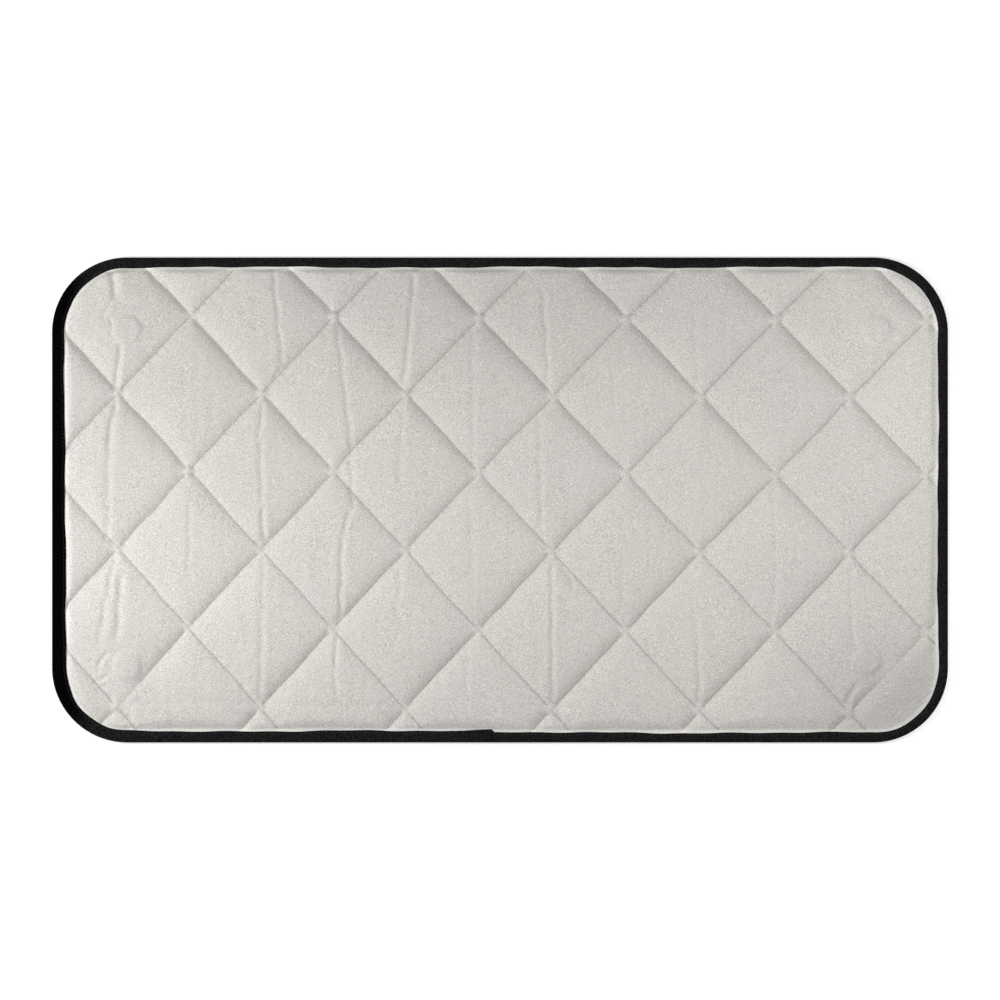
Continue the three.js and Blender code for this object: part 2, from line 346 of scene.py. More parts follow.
def relaxed_shift():
    """How a coarse copy of the face moves as it creases between its sewn lines."""
    piece = quilt_sheet("face_cloth_trial", quilt_plane(SIM_STEPS), True)
    raise_face(piece)
    start = vertex_array(piece)
    inset = edge_inset(start[:, 0], start[:, 1])
    nearest = np.minimum(*seam_distances(piece))
    held = np.where((nearest < SEAM_HOLD) | (inset < BINDING_WIDTH))[0]
    pins = piece.vertex_groups.new(name="sewn")
    pins.add([int(index) for index in held], 1.0, "REPLACE")
    piece.shape_key_add(name="Basis")
    larger = piece.shape_key_add(name="cut")
    cut = start * (SIM_EXCESS_X, SIM_EXCESS_Y, 1)
    larger.data.foreach_set("co", cut.astype(np.float32).ravel())
    larger.value = 0
    cloth = piece.modifiers.new("Cloth", "CLOTH")
    settings = cloth.settings
    settings.quality = 5
    settings.mass = 0.15
    settings.tension_stiffness = 25
    settings.compression_stiffness = 25
    settings.shear_stiffness = 8
    settings.bending_stiffness = 0.3
    settings.tension_damping = 10
    settings.compression_damping = 10
    settings.shear_damping = 10
    settings.bending_damping = 0.5
    settings.air_damping = 2
    settings.vertex_group_mass = "sewn"
    settings.rest_shape_key = larger
    settings.use_pressure = True
    settings.uniform_pressure_force = 4
    settings.effector_weights.gravity = 0
    cloth.collision_settings.use_collision = False
    cloth.point_cache.frame_start = 1
    cloth.point_cache.frame_end = SIM_FRAMES
    scene = bpy.context.scene
    for number in range(1, SIM_FRAMES + 1):
        scene.frame_set(number)
    shaped = piece.evaluated_get(bpy.context.evaluated_depsgraph_get())
    moved = np.zeros(len(piece.data.vertices) * 3, np.float32)
    shaped.data.vertices.foreach_get("co", moved)
    scene.frame_set(1)
    shift = moved.reshape(-1, 3).astype(np.float64) - start
    length = np.maximum(np.linalg.norm(shift, axis=1), 1e-9)
    shift *= np.minimum(1, SIM_CAP / length)[:, None]
    table = np.zeros((2 * QUILT_REACH * SIM_STEPS + 1,) * 2 + (3,))
    rows = [
        np.round((read_attribute(piece, name) + QUILT_REACH) * SIM_STEPS).astype(int)
        for name in ("quilt_p", "quilt_q")
    ]
    table[rows[0], rows[1]] = shift
    mesh = piece.data
    bpy.data.objects.remove(piece)
    bpy.data.meshes.remove(mesh)
    return table


def sample_shift(table, p, q):
    """Reads the table of movements between its points."""
    u, v = (p + QUILT_REACH) * SIM_STEPS, (q + QUILT_REACH) * SIM_STEPS
    i, j = (np.clip(np.floor(value).astype(int), 0, table.shape[0] - 2) for value in (u, v))
    s, t = (u - i)[:, None], (v - j)[:, None]
    near = table[i, j] * (1 - s) + table[i + 1, j] * s
    far = table[i, j + 1] * (1 - s) + table[i + 1, j + 1] * s
    return near * (1 - t) + far * t


# Puckers read from the photograph: ends in pixels, then width and depth in millimetres
CREASES = [
    (113, 266, 114, 300, 3.2, 1.3),
    (114, 301, 100, 318, 1.6, 0.8),
    (110, 316, 111, 328, 2.0, 0.8),
    (121, 343, 115, 392, 2.4, 1.0),
    (116, 400, 108, 448, 2.6, 1.1),
    (109, 440, 107, 545, 2.8, 0.6),
    (116, 552, 107, 600, 2.2, 0.8),
    (107, 598, 99, 645, 3.0, 0.6),
    (121, 575, 117, 640, 3.6, 0.9),
    (190, 500, 188, 600, 2.6, 0.3),
    (198, 350, 196, 450, 2.6, 0.22),
    (273, 268, 283, 366, 2.2, 0.6),
    (283, 366, 266, 392, 1.8, 0.8),
    (264, 400, 258, 440, 2.0, 0.7),
    (260, 440, 262, 505, 2.4, 0.7),
    (262, 505, 264, 543, 2.2, 1.0),
    (264, 552, 260, 700, 2.4, 0.55),
    (337, 324, 352, 450, 2.4, 0.55),
    (351, 450, 353, 508, 2.2, 0.9),
    (352, 508, 342, 535, 2.0, 0.8),
    (342, 535, 340, 622, 2.4, 0.7),
    (338, 632, 334, 668, 2.0, 0.9),
    (334, 668, 336, 698, 2.2, 0.5),
    (415, 274, 404, 388, 2.4, 0.8),
    (403, 402, 399, 485, 2.8, 0.35),
    (380, 430, 378, 490, 2.8, 0.25),
    (401, 560, 400, 630, 2.6, 0.3),
    (473, 326, 473, 468, 2.6, 0.3),
    (470, 492, 474, 615, 2.6, 0.35),
    (466, 640, 466, 700, 2.8, 0.3),
    (543, 288, 549, 388, 2.2, 0.65),
    (539, 412, 542, 545, 2.4, 0.5),
    (552, 560, 553, 708, 2.2, 0.75),
    (560, 561, 576, 590, 3.0, 0.6),
    (612, 365, 616, 425, 2.4, 0.3),
    (621, 560, 625, 625, 2.6, 0.3),
    (619, 665, 621, 705, 2.8, 0.25),
    (694, 310, 698, 388, 2.4, 0.35),
    (705, 418, 706, 500, 2.8, 0.2),
    (697, 620, 700, 704, 2.4, 0.6),
    (772, 486, 777, 560, 2.4, 0.35),
    (777, 560, 772, 625, 2.4, 0.45),
    (773, 640, 771, 708, 2.6, 0.25),
    (832, 492, 834, 546, 2.8, 0.2),
    (850, 562, 854, 656, 2.6, 0.5),
    (867, 645, 883, 663, 1.8, 0.5),
    (864, 655, 878, 671, 1.6, 0.3),
    (873, 681, 886, 697, 1.6, 0.3),
    (845, 706, 858, 680, 2.4, 0.9),
    (118, 704, 262, 703, 3.4, 0.35),
    (265, 705, 398, 706, 3.4, 0.3),
    (97, 668, 108, 652, 1.8, 0.9),
    (99, 682, 108, 675, 1.6, 0.9),
]
CREASE_TAPER = 14 * MM
CREASE_GAIN = 2.3
CREASE_SPREAD = 1.2


CREASE_WANDER = 0.6 * MM
CREASE_LEAST_DEPTH = 0.28
CREASE_MARGIN = 4 * MM


def crease_places(x, y, line):
    """Places along and across one pucker's line, and the line's length."""
    start, end = Vector(from_photo(*line[:2])), Vector(from_photo(*line[2:4]))
    run = end - start
    ux, uy = run.normalized()
    along = (x - start.x) * ux + (y - start.y) * uy
    across = (x - start.x) * -uy + (y - start.y) * ux
    return along, across, run.length


def crease_depths(x, y):
    """Puckers: a narrow valley along each line, fading at its ends."""
    total = np.zeros_like(x)
    for line in CREASES:
        along, across, length = crease_places(x, y, line)
        width, depth = line[4:]
        fade = smooth_step(-2 * MM, CREASE_TAPER / 2, along)
        fade = fade * smooth_step(length + 2 * MM, length - CREASE_TAPER / 2, along)
        wander = CREASE_WANDER * np.sin(2 * math.pi * along / (31 * MM) + line[0])
        share = (across + wander) / (CREASE_SPREAD * width * MM)
        valley = np.exp(-(share**2)) - 0.35 * np.exp(-((share / 2.6) ** 2))
        total -= CREASE_GAIN * depth * MM * fade * valley
    return total


def near_detail(p, q):
    """Places that need a finer mesh: beside the seams and on the deeper puckers."""
    side = math.hypot(QUILT_STEP_X, QUILT_STEP_Y)
    wanted = side * np.minimum(np.abs(p - np.round(p)), np.abs(q - np.round(q))) < REFINE_SEAM
    x, y = quilt_point(p + q, q - p)
    for line in CREASES:
        along, across, length = crease_places(x, y, line)
        if line[5] > CREASE_LEAST_DEPTH:
            inside = (along > -CREASE_MARGIN) & (along < length + CREASE_MARGIN)
            wanted |= inside & (np.abs(across) < REFINE_CREASE)
    return wanted


# Disc magnets under the face, from the frame, and the height and softness of their bumps
MAGNET_NODES = ("magnet_far_left", "magnet_far_right", "magnet_near_left", "magnet_near_right")
MAGNET_BUMP = 1.8 * MM
MAGNET_RIM = 1.5 * MM


def magnet_bumps(x, y):
    total = np.zeros_like(x)
    for node in MAGNET_NODES:
        low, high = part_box(node)
        radius = (high.x - low.x) / 2
        away = np.hypot(x - (low.x + high.x) / 2, y - (low.y + high.y) / 2)
        total += MAGNET_BUMP * smooth_step(radius + 2 * MAGNET_RIM, radius - MAGNET_RIM, away)
    return total


# Gathers along the stitches, slack in the open cloth, and knots
FLUTTER_HEIGHT = 0.12 * MM
PUCKER_LENGTH = 9 * MM
PUCKER_HEIGHT = 0.5 * MM
PUCKER_REACH = 4.5 * MM
STREAK_HEIGHT = 0.16 * MM
KNOT_HEIGHT = 2.2 * MM
KNOT_REACH = 4.2 * MM


def face_detail(x, y, p, q):
    """Puckers, magnet bumps, gathers along the stitches and knots where the seams cross."""
    side = math.hypot(QUILT_STEP_X, QUILT_STEP_Y)
    falling, rising = side * np.abs(p - np.round(p)), side * np.abs(q - np.round(q))
    nearest = np.minimum(falling, rising)
    inset = edge_inset(x, y)
    open_cloth = smooth_step(0, 5 * MM, nearest)
    shift = crease_depths(x, y) * smooth_step(0, 2.5 * MM, nearest)
    shift += magnet_bumps(x, y) * smooth_step(0, 4 * MM, nearest)
    shift += STREAK_HEIGHT * ripples(x, y, 22 * MM, 120 * MM, 3) * open_cloth
    shift += FLUTTER_HEIGHT * ripples(x, y, 14 * MM, 16 * MM, 4) * open_cloth
    for distance, share, seed in ((falling, q, 5), (rising, p, 6)):
        phase = 2.8 * ripples(x, y, 50 * MM, 50 * MM, seed)
        gather = np.sin(2 * math.pi * share * side / PUCKER_LENGTH + phase)
        gather += 0.6 * np.sin(2 * math.pi * share * side / (0.41 * PUCKER_LENGTH) + 2 * phase)
        strength = np.clip(0.75 + 0.5 * ripples(x, y, 40 * MM, 40 * MM, seed + 20), 0.1, 1.6)
        reach = np.exp(-distance / PUCKER_REACH) * smooth_step(0.1 * MM, 1.8 * MM, distance)
        shift += PUCKER_HEIGHT * gather * strength * reach
    crossing = np.hypot(falling, rising)
    size = 0.7 + 0.5 * ripples(np.round(p), np.round(q), 1.7, 1.9, 13)
    shift += KNOT_HEIGHT * size * np.exp(-((crossing / KNOT_REACH) ** 2))
    return shift * smooth_step(BINDING_WIDTH - 1 * MM, BINDING_WIDTH + 3 * MM, inset)


# Painted light and shade: slow lighter and darker patches in the cloth's colour, the darkest at the
# drooped corner; middle and reach in photo pixels, then amount
PAINTED_LIGHT_PATCHES = [
    (190, 590, 230, 130, 0.11),
    (520, 300, 190, 80, -0.09),
    (905, 370, 75, 110, 0.09),
    (900, 700, 100, 70, -0.19),
]


def make_face():
    shift = relaxed_shift()
    plane = meet_raw_edge(quilt_plane(FACE_STEPS, near_detail))
    face = quilt_sheet("face_cloth_quilted", plane, True)
    places = vertex_array(face)
    x, y = places[:, 0].copy(), places[:, 1].copy()
    p, q = read_attribute(face, "quilt_p"), read_attribute(face, "quilt_q")
    places[:, 2] = face_height(x, y, p, q) + face_detail(x, y, p, q)
    if shift is not None:
        places += sample_shift(shift, p, q)
    set_vertices(face, places)
    falling, rising = seam_distances(face)
    shown = np.exp(-((falling / SEAM_LINE) ** 2))
    shown = np.maximum(shown, rising_kept(x, y) * np.exp(-((rising / SEAM_LINE) ** 2)))
    # Painted shade: a dark line in the colour along the seams, kept off the knots and fading where
    # the rising seams fade
    write_attribute(face, "seam_painted_shade", clear_of_knot(falling, rising) * shown)
    # Painted highlight: a pale band in the colour just inside the tape's edge
    beside = edge_inset(x, y) - tape_edge(x, y)
    write_attribute(face, "edge_painted_highlight", smooth_step(3.6 * MM, 1.4 * MM, beside))
    # Painted light and shade: soft lighter and darker patches that scale the cloth's colour
    tone = np.ones_like(x)
    for px, py, reach_x, reach_y, amount in PAINTED_LIGHT_PATCHES:
        spot_x, spot_y = from_photo(px, py)
        across, along = (x - spot_x) / reach_x, (y - spot_y) / reach_y
        tone += amount * np.exp(-(across**2 + along**2) / PHOTO_PIXEL**2)
    write_attribute(face, "tone", tone)
    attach(face, "root")
    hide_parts("face_cloth")
    return face


BACK_STEPS = 24
BACK_SLACK = 0.12 * MM
BACK_ROLL_WIDTH = 1.4 * ROLL_WIDTH
WADDING_STEPS = 12


def back_height(x, y, p, q):
    share = np.minimum(np.abs(p - np.round(p)), np.abs(q - np.round(q)))
    groove = SEAM_LIFT * np.power(np.clip(1 - share / GROOVE_SHARE, 0, 1), 1.5)
    rise = np.clip((edge_inset(x, y) - BINDING_WIDTH - 0.5 * MM) / BACK_ROLL_WIDTH, 0, 1)
    margin = EDGE_BOTTOM - (EDGE_BOTTOM + MARGIN_SPARE) * np.sin(math.pi / 2 * rise)
    return np.maximum(np.maximum(groove, margin), 0)


def make_back():
    back = quilt_sheet("backing_cloth_quilted", meet_raw_edge(quilt_plane(BACK_STEPS)), False)
    places = vertex_array(back)
    p, q = read_attribute(back, "quilt_p"), read_attribute(back, "quilt_q")
    places[:, 2] = back_height(places[:, 0], places[:, 1], p, q)
    nearest = np.minimum(*seam_distances(back))
    slack = np.clip(ripples(places[:, 0], places[:, 1], 22 * MM, 50 * MM, 8), 0, 2)
    places[:, 2] += BACK_SLACK * slack * smooth_step(0, 8 * MM, nearest)
    set_vertices(back, places)
    wall = back.modifiers.new("Solidify", "SOLIDIFY")
    wall.thickness = CLOTH_THICKNESS
    wall.offset = -1
    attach(back, "root")
    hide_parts("backing_cloth")
    return back


WADDING_CLEARANCE = 1.4 * MM
WADDING_LEAST = 0.2 * MM


def make_wadding():
    """The filling between the two cloths, a closed body kept clear of both."""
    top = quilt_sheet("wadding_fill", quilt_plane(WADDING_STEPS), True)
    places = vertex_array(top)
    x, y = places[:, 0], places[:, 1]
    p, q = read_attribute(top, "quilt_p"), read_attribute(top, "quilt_q")
    low = back_height(x, y, p, q) + CLOTH_THICKNESS + LAYER_GAP
    high = face_height(x, y, p, q) - CLOTH_THICKNESS - WADDING_CLEARANCE
    high = np.maximum(high, low + WADDING_LEAST)
    bm = bmesh.new()
    for heights in (high, low):
        places[:, 2] = heights
        set_vertices(top, places)
        bm.from_mesh(top.data)
    bm.faces.ensure_lookup_table()
    bmesh.ops.reverse_faces(bm, faces=bm.faces[len(bm.faces) // 2:])
    bmesh.ops.bridge_loops(bm, edges=[edge for edge in bm.edges if edge.is_boundary])
    bmesh.ops.recalc_face_normals(bm, faces=bm.faces)
    bm.to_mesh(top.data)
    bm.free()
    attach(top, "root")
    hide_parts("wadding")
    return top


# The folded tape

TAPE_STEP = 2.4 * MM
TAPE_ROWS = 30
TAPE_WAVER = 0.5 * MM
STITCH_ROW_INSET = 2.2 * MM
TAPE_STITCH_PITCH = 3.6 * MM
TAPE_STITCH_LENGTH = 2.6 * MM
TAPE_STITCH_RADIUS = 0.22 * MM
# Painted shade: how much darker the tape's colour is made along the left side
LEFT_TAPE_PAINTED_SHADE = 0.88
TAPE_WALL = 0.8 * TAPE_THICKNESS
TAPE_PADDING = 0.25 * MM
TAPE_RIPPLE = 0.12 * MM
FLOOR_CLEARANCE = 0.02 * MM
LAP_LIFT = 0.4 * MM
LAP_EXTRA_WIDTH = 1.2 * MM


def outline_length():
    straight = 4 * (HALF_LENGTH + HALF_WIDTH - 2 * CORNER_RADIUS)
    return straight + 2 * math.pi * CORNER_RADIUS


def outline_frame(distance):
    """Point on the outline and outward direction, anticlockwise from the tape's lapped end."""
    side_x, side_y = HALF_LENGTH - CORNER_RADIUS, HALF_WIDTH - CORNER_RADIUS
    quarter = math.pi / 2 * CORNER_RADIUS
    distance = (distance + LAP_END_X + side_x) % outline_length()
    legs = [
        (2 * side_x, (-side_x, -HALF_WIDTH), (1, 0), None),
        (quarter, (side_x, -side_y), None, -90),
        (2 * side_y, (HALF_LENGTH, -side_y), (0, 1), None),
        (quarter, (side_x, side_y), None, 0),
        (2 * side_x, (side_x, HALF_WIDTH), (-1, 0), None),
        (quarter, (-side_x, side_y), None, 90),
        (2 * side_y, (-HALF_LENGTH, side_y), (0, -1), None),
        (quarter, (-side_x, -side_y), None, 180),
    ]
    for length, (x, y), way, start in legs:
        if distance <= length:
            break
        distance -= length
    if way:
        return (x + way[0] * distance, y + way[1] * distance), (way[1], -way[0])
    angle = math.radians(start) + distance / CORNER_RADIUS
    out = (math.cos(angle), math.sin(angle))
    return (x + out[0] * CORNER_RADIUS, y + out[1] * CORNER_RADIUS), out


def tape_profile(share, width, radius):
    """Inset and height at a share of the way round the fold, from the upper edge to the lower."""
    leg = width - radius
    path = share * (2 * leg + math.pi * radius)
    if path < leg:
        return width - path, EDGE_MID_Z + radius
    if path < leg + math.pi * radius:
        angle = (path - leg) / radius
        return radius - radius * math.sin(angle), EDGE_MID_Z + radius * math.cos(angle)
    return path - leg - math.pi * radius + radius, EDGE_MID_Z - radius


def tape_width(x, y, distance):
    """Width of the tape at a place, with its uneven sewing."""
    waver = math.sin(distance / (41 * MM)) + 0.7 * math.sin(distance / (17 * MM) + 1)
    waver += 0.5 * math.sin(distance / (7.3 * MM) + 2)
    return float(tape_edge(x, y)) + TAPE_WAVER * waver


def lay_tape(name, first, last, radius, extra_width, closed):
    """One run of folded tape between two distances along the outline."""
    columns = round((last - first) / TAPE_STEP)
    bm = bmesh.new()
    bmesh.ops.create_grid(bm, x_segments=columns, y_segments=TAPE_ROWS, size=0.5)
    along_layer = bm.verts.layers.float.new("tape_along")
    across_layer = bm.verts.layers.float.new("tape_across")
    painted_shade_layer = bm.verts.layers.float.new("tape_painted_shade")
    for vert in bm.verts:
        distance = first + (last - first) * (vert.co.x + 0.5)
        share = vert.co.y + 0.5
        (x, y), (out_x, out_y) = outline_frame(distance)
        width = tape_width(x, y, distance) + extra_width
        inset, height = tape_profile(share, width, radius)
        path = share * (2 * (width - radius) + math.pi * radius)
        edge_path = min(path, 2 * (width - radius) + math.pi * radius - path)
        stitch = math.cos(2 * math.pi * distance / TAPE_STITCH_PITCH)
        seam = math.exp(-(((edge_path - STITCH_ROW_INSET) / (0.8 * MM)) ** 2))
        pad = TAPE_PADDING * math.exp(-(((edge_path - 6 * MM) / (2.5 * MM)) ** 2))
        sink = (0.28 + 0.10 * stitch) * MM * seam
        waver = TAPE_RIPPLE * math.sin(distance / (9 * MM) + 3 * share)
        waver *= 1 if edge_path > 1 * MM else 0.4
        upward = 1 if share < 0.5 else -1
        height += upward * (pad - sink + waver) if inset > radius else 0
        vert.co = (x - out_x * inset, y - out_y * inset, max(height, FLOOR_CLEARANCE))
        vert[along_layer] = distance
        vert[across_layer] = path
        # Painted shade: the tape's left side is painted darker
        darker = smooth_step(-HALF_LENGTH + 40 * MM, -HALF_LENGTH + 10 * MM, x)
        vert[painted_shade_layer] = 1 - LEFT_TAPE_PAINTED_SHADE * float(darker)
    if closed:
        bmesh.ops.remove_doubles(bm, verts=bm.verts, dist=0.01 * MM)
    bmesh.ops.recalc_face_normals(bm, faces=bm.faces)
    if sum(face.normal.z * (face.calc_center_median().z - EDGE_MID_Z) for face in bm.faces) < 0:
        bmesh.ops.reverse_faces(bm, faces=bm.faces)
    tape = mesh_object(name, bm)
    wall = tape.modifiers.new("Solidify", "SOLIDIFY")
    wall.thickness = TAPE_WALL
    wall.offset = -1
    return tape


def make_binding():
    tape = lay_tape("edge_binding_tape", 0, outline_length(), FOLD_RADIUS, 0, True)
    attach(tape, "root")
    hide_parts("edge_binding")
    radius = FOLD_RADIUS + LAP_LIFT
    lap = lay_tape("edge_binding_lapped_end", -LAP_LENGTH, 0, radius, LAP_EXTRA_WIDTH, False)
    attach(lap, "root")
    return tape, lap


# Stitches

STITCH_PITCH = 3.4 * MM
STITCH_LENGTH = 2.5 * MM
STITCH_RADIUS = 0.32 * MM
FACE_STITCH_RISE = 0.3 * MM
BACK_STITCH_RISE = -0.12 * MM


def lay_stitches(name, runs, length, radius):
    """Short thread segments, each laid between two points of a run."""
    bm = bmesh.new()
    for run in runs:
        for start, end in run:
            middle = (start + end) / 2
            way = (end - start).normalized()
            turn = Vector((1, 0, 0)).rotation_difference(way).to_matrix().to_4x4()
            size = Matrix.Diagonal((length / 2, radius, radius, 1))
            place = Matrix.Translation(middle) @ turn @ size
            bmesh.ops.create_icosphere(bm, subdivisions=1, radius=1, matrix=place)
    thread = mesh_object(name, bm)
    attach(thread, "root")
    return thread


def seam_runs(piece, height):
    """Stitches along every quilting seam of a cloth, sunk into its groove."""
    places = vertex_array(piece)
    shares = {name: read_attribute(piece, name) for name in ("quilt_p", "quilt_q")}
    inset = edge_inset(places[:, 0], places[:, 1])
    runs = []
    for across, along in (("quilt_p", "quilt_q"), ("quilt_q", "quilt_p")):
        on_seam = np.abs(shares[across] - np.round(shares[across])) < 1e-4
        on_seam &= inset > BINDING_WIDTH
        for number in np.unique(np.round(shares[across][on_seam])):
            chosen = on_seam & (np.round(shares[across]) == number)
            line = places[chosen][np.argsort(shares[along][chosen])]
            if len(line) < 3:
                continue
            steps = np.linalg.norm(np.diff(line, axis=0), axis=1)
            length = np.concatenate([[0], np.cumsum(steps)])
            starts = np.arange(1 * MM, length[-1] - STITCH_PITCH, STITCH_PITCH)
            run = []
            for start in starts:
                ends = []
                for distance in (start, start + STITCH_LENGTH):
                    point = [float(np.interp(distance, length, line[:, axis])) for axis in range(3)]
                    ends.append(Vector(point) + Vector((0, 0, height)))
                run.append(ends)
            runs.append(run)
    return runs


def tape_runs():
    run = []
    pitch_count = round(outline_length() / TAPE_STITCH_PITCH)
    for number in range(pitch_count):
        ends = []
        for offset in (0, TAPE_STITCH_LENGTH):
            distance = number * outline_length() / pitch_count + offset
            (x, y), (out_x, out_y) = outline_frame(distance)
            inset = tape_width(x, y, distance) - STITCH_ROW_INSET
            height = EDGE_MID_Z + FOLD_RADIUS - 0.05 * MM
            ends.append(Vector((x - out_x * inset, y - out_y * inset, height)))
        run.append(ends)
    return [run]


# Stage, light and camera

SKY_STRENGTH = 0.19
LEFT_POWER = 14.0
STRIP_POWER = 2.6
RIGHT_POWER = 6.0
FLOOR_LIFT = 0.4
FLOOR_NEAR = 0.5
FLOOR_FAR = 1.1


def background_rays(tree):
    """1 for the rays that show the background: camera, glossy and transmission rays."""
    path = tree.nodes.new("ShaderNodeLightPath")
    shown = calculate(tree, "ADD", path.outputs["Is Camera Ray"], path.outputs["Is Glossy Ray"])
    return calculate(tree, "ADD", shown, path.outputs["Is Transmission Ray"], clamp=True)


def set_stage():
    bm = bmesh.new()
    bmesh.ops.create_grid(bm, x_segments=1, y_segments=1, size=6)
    floor = mesh_object("floor", bm)
    material = bpy.data.materials.new("floor_white")
    material.use_nodes = True
    tree = material.node_tree
    shader = tree.nodes["Principled BSDF"]
    shader.inputs["Base Color"].default_value = (0.86, 0.86, 0.86, 1)
    shader.inputs["Roughness"].default_value = 0.9
    shader.inputs["Specular IOR Level"].default_value = 0
    shader.inputs["Emission Color"].default_value = (1, 1, 1, 1)
    away = tree.nodes.new("ShaderNodeVectorMath")
    away.operation = "LENGTH"
    tree.links.new(object_place(tree), away.inputs[0])
    lift = tree.nodes.new("ShaderNodeMapRange")
    tree.links.new(away.outputs["Value"], lift.inputs["Value"])
    limits = {"From Min": FLOOR_NEAR, "From Max": FLOOR_FAR, "To Min": FLOOR_LIFT, "To Max": 1}
    for label, value in limits.items():
        lift.inputs[label].default_value = value
    strength = calculate(tree, "MULTIPLY", background_rays(tree), lift.outputs["Result"])
    tree.links.new(strength, shader.inputs["Emission Strength"])
    floor.data.materials.append(material)


def aimed_lamp(name, place, target, size, energy, even=False):
    """A soft lamp, unseen by the camera; an even one keeps its strength at any distance."""
    lamp = bpy.data.lights.new(name, "AREA")
    lamp.shape = "RECTANGLE"
    lamp.size, lamp.size_y = size
    lamp.energy = energy
    if even:
        lamp.use_nodes = True
        tree = lamp.node_tree
        falloff = tree.nodes.new("ShaderNodeLightFalloff")
        falloff.inputs["Strength"].default_value = 1
        tree.links.new(falloff.outputs["Constant"], tree.nodes["Emission"].inputs["Strength"])
    holder = bpy.data.objects.new(name, lamp)
    bpy.context.scene.collection.objects.link(holder)
    holder.location = place
    holder.rotation_euler = (Vector(target) - Vector(place)).to_track_quat("-Z", "Y").to_euler()
    holder.visible_camera = False
    return lamp


def set_light():
    world = bpy.data.worlds.new("studio")
    bpy.context.scene.world = world
    world.use_nodes = True
    tree = world.node_tree
    background = tree.nodes["Background"]
    background.inputs["Color"].default_value = (1, 1, 1, 1)
    background.inputs["Strength"].default_value = SKY_STRENGTH
    seen = tree.nodes.new("ShaderNodeBackground")
    seen.inputs["Color"].default_value = (1, 1, 1, 1)
    mix = tree.nodes.new("ShaderNodeMixShader")
    tree.links.new(background_rays(tree), mix.inputs["Fac"])
    tree.links.new(background.outputs["Background"], mix.inputs[1])
    tree.links.new(seen.outputs["Background"], mix.inputs[2])
    tree.links.new(mix.outputs["Shader"], tree.nodes["World Output"].inputs["Surface"])
    aimed_lamp("left_lamp", (-1.3, 0, 0.78), (-0.1, 0, 0), (0.4, 0.5), LEFT_POWER)
    aimed_lamp("strip_lamp", (0, 0, 0.36), (0, 0, 0), (1.1, 0.06), STRIP_POWER, even=True)
    aimed_lamp("right_fill", (0.8, 0, 1.0), (0.15, 0, 0), (0.5, 0.5), RIGHT_POWER)


def set_camera():
    camera = bpy.data.cameras.new("camera")
    camera.type = "ORTHO"
    camera.ortho_scale = 1000 * PHOTO_PIXEL
    camera.clip_end = 20
    holder = bpy.data.objects.new("camera", camera)
    bpy.context.scene.collection.objects.link(holder)
    holder.location = (0, 0, 2.5)
    bpy.context.scene.camera = holder


# Materials

def new_group(name, inputs, outputs):
    tree = bpy.data.node_groups.new(name, "ShaderNodeTree")
    for label, kind, value in inputs:
        socket = tree.interface.new_socket(name=label, in_out="INPUT", socket_type=kind)
        socket.default_value = value
    for label in outputs:
        tree.interface.new_socket(name=label, in_out="OUTPUT", socket_type="NodeSocketFloat")
    return tree, tree.nodes.new("NodeGroupInput"), tree.nodes.new("NodeGroupOutput")


def calculate(tree, operation, *values, clamp=False):
    node = tree.nodes.new("ShaderNodeMath")
    node.operation = operation
    node.use_clamp = clamp
    for socket, value in zip(node.inputs, values):
        if isinstance(value, bpy.types.NodeSocket):
            tree.links.new(value, socket)
        else:
            socket.default_value = value
    return node.outputs[0]


def noise(tree, place, scale, detail, roughness=0.5):
    node = tree.nodes.new("ShaderNodeTexNoise")
    tree.links.new(place, node.inputs["Vector"])
    if isinstance(scale, bpy.types.NodeSocket):
        tree.links.new(scale, node.inputs["Scale"])
    else:
        node.inputs["Scale"].default_value = scale
    node.inputs["Detail"].default_value = detail
    node.inputs["Roughness"].default_value = roughness
    return node.outputs["Fac"]


def object_place(tree):
    return tree.nodes.new("ShaderNodeTexCoord").outputs["Object"]


def axis_values(tree, vector):
    node = tree.nodes.new("ShaderNodeSeparateXYZ")
    tree.links.new(vector, node.inputs[0])
    return node.outputs


def make_grain_group():
    """Fine speckle that comes and goes in patches, and slow drifts of tone."""
    tree, given, result = new_group(
        "cloth_grain",
        [("Grain Scale", "NodeSocketFloat", 560), ("Grain Strength", "NodeSocketFloat", 1)],
        ["Grain", "Drift"],
    )
    place = object_place(tree)
    fine = noise(tree, place, given.outputs["Grain Scale"], 1.5, 0.6)
    patches = noise(tree, place, 26, 2)
    centred = calculate(tree, "SUBTRACT", fine, 0.5)
    swing = calculate(tree, "MULTIPLY", centred, calculate(tree, "ADD", patches, 0.5))
    grain = calculate(tree, "MULTIPLY_ADD", swing, given.outputs["Grain Strength"], 0.5, clamp=True)
    tree.links.new(grain, result.inputs["Grain"])
    tree.links.new(noise(tree, place, 7, 2, 0.5), result.inputs["Drift"])
    return tree


def make_weave_group():
    """Plain weave: threads of two directions passing over and under each other."""
    pitch = ("Thread Pitch", "NodeSocketFloat", 0.0006)
    tree, given, result = new_group("plain_weave", [pitch], ["Height"])
    x, y, _ = axis_values(tree, object_place(tree))
    waves = []
    for axis in (x, y):
        turns = calculate(tree, "DIVIDE", axis, given.outputs["Thread Pitch"])
        waves.append(calculate(tree, "SINE", calculate(tree, "MULTIPLY", turns, math.pi)))
    crossing = calculate(tree, "MULTIPLY", *waves)
    tree.links.new(calculate(tree, "MULTIPLY_ADD", crossing, 0.5, 0.5), result.inputs["Height"])
    return tree


